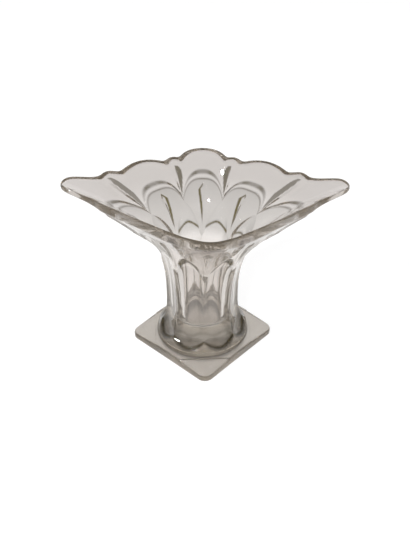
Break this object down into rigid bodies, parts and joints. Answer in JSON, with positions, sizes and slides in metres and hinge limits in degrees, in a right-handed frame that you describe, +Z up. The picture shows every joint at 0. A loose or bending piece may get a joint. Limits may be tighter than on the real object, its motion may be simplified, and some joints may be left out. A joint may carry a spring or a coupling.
{
  "type": "fan vase",
  "caption": "Clear pressed-glass fan vase with a flared, scalloped diamond mouth, a fluted column with arched panels and a thick square foot set cornerwise.",
  "frame": {"origin": "middle of the underside of the square foot", "axes": "+Z up, X along the two wing tips, -Y the front where a corner of the foot points"},
  "size_m": [0.2002, 0.1281, 0.1428],
  "materials": {
    "clear_glass": "fire-polished clear pressed glass with a faint warm grey tint"
  },
  "bodies": {
    "root": {"fan_body": "clear_glass", "joining_wafer": "clear_glass", "square_foot": "clear_glass"}
  },
  "joints": []
}
